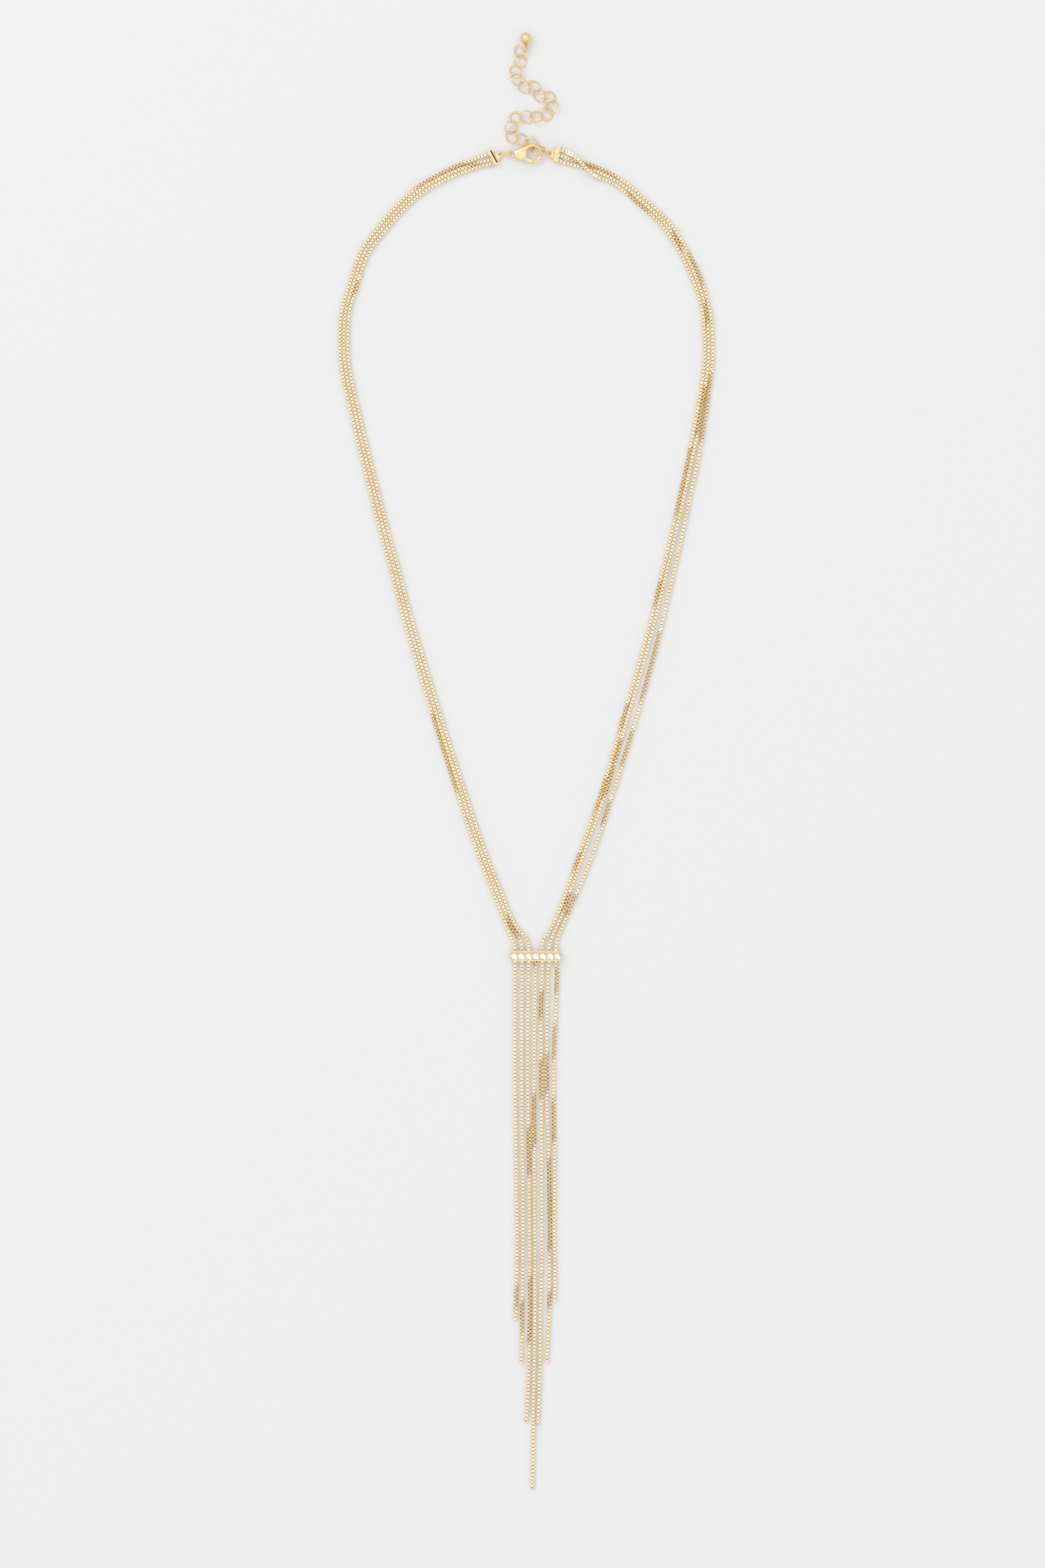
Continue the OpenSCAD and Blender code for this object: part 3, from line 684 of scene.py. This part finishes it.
# %% [markdown]
# ## A chain of links
#
# Each link passes through the open sides of the next, which is turned a quarter round the chain. So
# the chain repeats every two links: a pair is made once along X, an Array modifier repeats it, and a
# Curve modifier bends the whole row along the chain's way and rolls it by the curve's tilt. The pitch
# is about 0.645 mm and is fitted so that the last link ends where the chain ends. Where a chain stands
# on its edge, its way is lifted, because the edge reaches lower than the flat face. Lengths are in
# millimetres until the pieces are made.

# %% Chain builder
LINK_PITCH = 0.645
WAY_STEP = 0.8
EDGE_LIFT = 0.135


def smooth_way(way):
    """Points of a Catmull-Rom curve through a way, about WAY_STEP apart, in millimetres."""
    way = [Vector(p) for p in way]
    points = []
    for i in range(len(way) - 1):
        a, b, c, d = (way[min(max(i + k, 0), len(way) - 1)] for k in (-1, 0, 1, 2))
        steps = max(1, round((c - b).length / WAY_STEP))
        for t in (k / steps for k in range(steps)):
            points.append(0.5 * (2 * b + (c - a) * t + (2 * a - 5 * b + 4 * c - d) * t ** 2
                                 + (3 * b - a - 3 * c + d) * t ** 3))
    return points + [way[-1]]


def guide(chain, points):
    """A curve object along the points, tilted by the chain's roll, and its length in millimetres."""
    curve = bpy.data.curves.new(chain + "_way", "CURVE")
    curve.dimensions = "3D"
    curve.twist_mode = "Z_UP"
    spline = curve.splines.new("POLY")
    spline.points.add(len(points) - 1)
    length = 0
    for i, (point, target) in enumerate(zip(points, spline.points)):
        length += (point - points[i - 1]).length if i else 0
        angle = math.radians(roll(chain, length))
        lift = EDGE_LIFT * abs(math.sin(2 * angle))
        target.co = (*((point + Vector((0, 0, lift))) * MM), 1)
        target.tilt = angle
    return add_object(chain + "_way", curve), length


def link_pair(pitch):
    """Two links along X, a quarter turn apart, in metres, the first end at x = 0."""
    pair = bmesh.new()
    for place, turn in ((0, 0), (pitch, 90)):
        link = folded_link()
        quarter = Matrix.Rotation(math.radians(turn), 3, "X")
        bmesh.ops.rotate(link, cent=(0, 0, 0), matrix=quarter, verts=link.verts)
        bmesh.ops.translate(link, vec=(LINK_LENGTH / 2 + place, 0, 0), verts=link.verts)
        bmesh.ops.scale(link, vec=(MM, MM, MM), verts=link.verts)
        half = mesh_of("half", link)
        pair.from_mesh(half)
        bpy.data.meshes.remove(half)
    return mesh_of("link_pair", pair)


def box_chain(chain, way):
    """A chain of links along a way, as one mesh object at the origin."""
    guide_object, length = guide(chain, smooth_way(way))
    pairs = round(((length - LINK_LENGTH) / LINK_PITCH + 1) / 2)
    pitch = (length - LINK_LENGTH) / (2 * pairs - 1)
    piece = add_object(chain + "_links", link_pair(pitch))
    row = piece.modifiers.new("row", "ARRAY")
    row.use_relative_offset = False
    row.use_constant_offset = True
    row.constant_offset_displace = (2 * pitch * MM, 0, 0)
    row.count = pairs
    bend = piece.modifiers.new("bend", "CURVE")
    bend.object = guide_object
    bend.deform_axis = "POS_X"
    finished = modified_mesh(piece)
    piece.modifiers.clear()
    piece.data = finished
    piece.data.name = piece.name
    bpy.data.objects.remove(guide_object)
    piece.data.materials.append(chain_gold)
    piece.data.materials.append(strip_inside_shade)
    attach(piece, "necklace")
    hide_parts(chain)
    print(piece.name, "links:", 2 * pairs, "length:", round(length), "faces:", len(finished.polygons))
    return piece


print("a pair of links takes", 2 * LINK_PITCH, "mm of chain")

# %% [markdown]
# ### The thirteen chains
#
# Six side chains and seven fringe chains, each of them one piece.

# %% Build the thirteen chains
chains = [box_chain(chain, way) for chain, way in ways.items()]
print("faces in all chains:", sum(len(piece.data.polygons) for piece in chains))

# %% [markdown]
# ## The table under the necklace
#
# The necklace lies on a plain pale sheet of matt card. It is far larger than the picture, so that it
# also fills low side views. The photo's shadows are very faint, even inside the hook, so the card lies
# on a light table: a fifth of its brightness comes through it from below. More than that would show
# between the links, where the photo is dark.

# %% Matt card
CARD_REACH = 4  # metres from its middle to an edge
CARD_FIBRE = 1.5 * MM  # the length of a paper fibre
TABLE_GLOW = 0.17


def matt_card(name):
    """White card on a light table: matt, with a very faint grain."""
    material, tree, output = new_material(name)
    place = add(tree, "ShaderNodeTexCoord").outputs["Object"]
    fibre = add(tree, "ShaderNodeTexNoise", {"Vector": place, "Scale": 1 / CARD_FIBRE, "Detail": 2})
    tone = ramp(add(tree, "ShaderNodeValToRGB", {"Fac": fibre.outputs["Fac"]}),
                [(0, "#D0D3D7"), (1, "#D4D6DA")])
    shader = add(tree, "ShaderNodeBsdfPrincipled", {
        "Base Color": tone.outputs["Color"], "Roughness": 0.9, "Specular IOR Level": 0.2,
        "Emission Color": linear("#FFFFFF"), "Emission Strength": TABLE_GLOW})
    tree.links.new(shader.outputs["BSDF"], output.inputs["Surface"])
    return material


card = bmesh.new()
bmesh.ops.create_grid(card, x_segments=1, y_segments=1, size=CARD_REACH)
floor = add_object("card", mesh_of("card", card))
floor.data.materials.append(matt_card("matt_white_card"))
print("card in metres:", floor.dimensions[:2])

# %% [markdown]
# ## Light
#
# Polished metal shows its surroundings more than its own colour. A white tent lights jewellery: it is
# brightest overhead, so flat plates look almost white, and darker at the sides, so edges and tilted
# faces turn a deeper gold. The world is that tent. One softbox stands at the upper left, outside what
# the flat plates mirror. It puts the small highlights on the round parts and gives the faint shadow.

# %% Tent and softbox
ZENITH = 1.1
SIDES = 0.74
SIDE_TINT = "#FFF1DC"

tent = bpy.data.worlds.new("white_tent")
tent.use_nodes = True
tent.node_tree.nodes.clear()
direction = add(tent.node_tree, "ShaderNodeTexCoord").outputs["Generated"]
upward = add(tent.node_tree, "ShaderNodeSeparateXYZ", {"Vector": direction}).outputs["Z"]
shade = ramp(add(tent.node_tree, "ShaderNodeValToRGB", {"Fac": upward}), [(0.0, SIDE_TINT), (0.9, "#FFFFFF")])
strength = add(tent.node_tree, "ShaderNodeMapRange", {
    "Value": upward, "From Min": 0.0, "From Max": 1.0, "To Min": SIDES, "To Max": ZENITH})
cloth = add(tent.node_tree, "ShaderNodeBackground", {
    "Color": shade.outputs["Color"], "Strength": strength.outputs["Result"]})
add(tent.node_tree, "ShaderNodeOutputWorld", {"Surface": cloth.outputs["Background"]})
scene.world = tent


def softbox(name, place, target, size, watts):
    """A square area light at a place, turned to a target, in metres."""
    lamp = bpy.data.lights.new(name, "AREA")
    lamp.shape = "SQUARE"
    lamp.size = size
    lamp.energy = watts
    lamp_object = add_object(name, lamp)
    lamp_object.location = place
    lamp_object.rotation_euler = (Vector(target) - Vector(place)).to_track_quat("-Z", "Y").to_euler()


softbox("upper_left_softbox", place=(-1.7, 1.7, 2.3), target=(0, 0.06, 0), size=1.2, watts=16)
scene.view_settings.view_transform = "Standard"
scene.cycles.max_bounces = 16
scene.cycles.glossy_bounces = 12
scene.cycles.transmission_bounces = 12
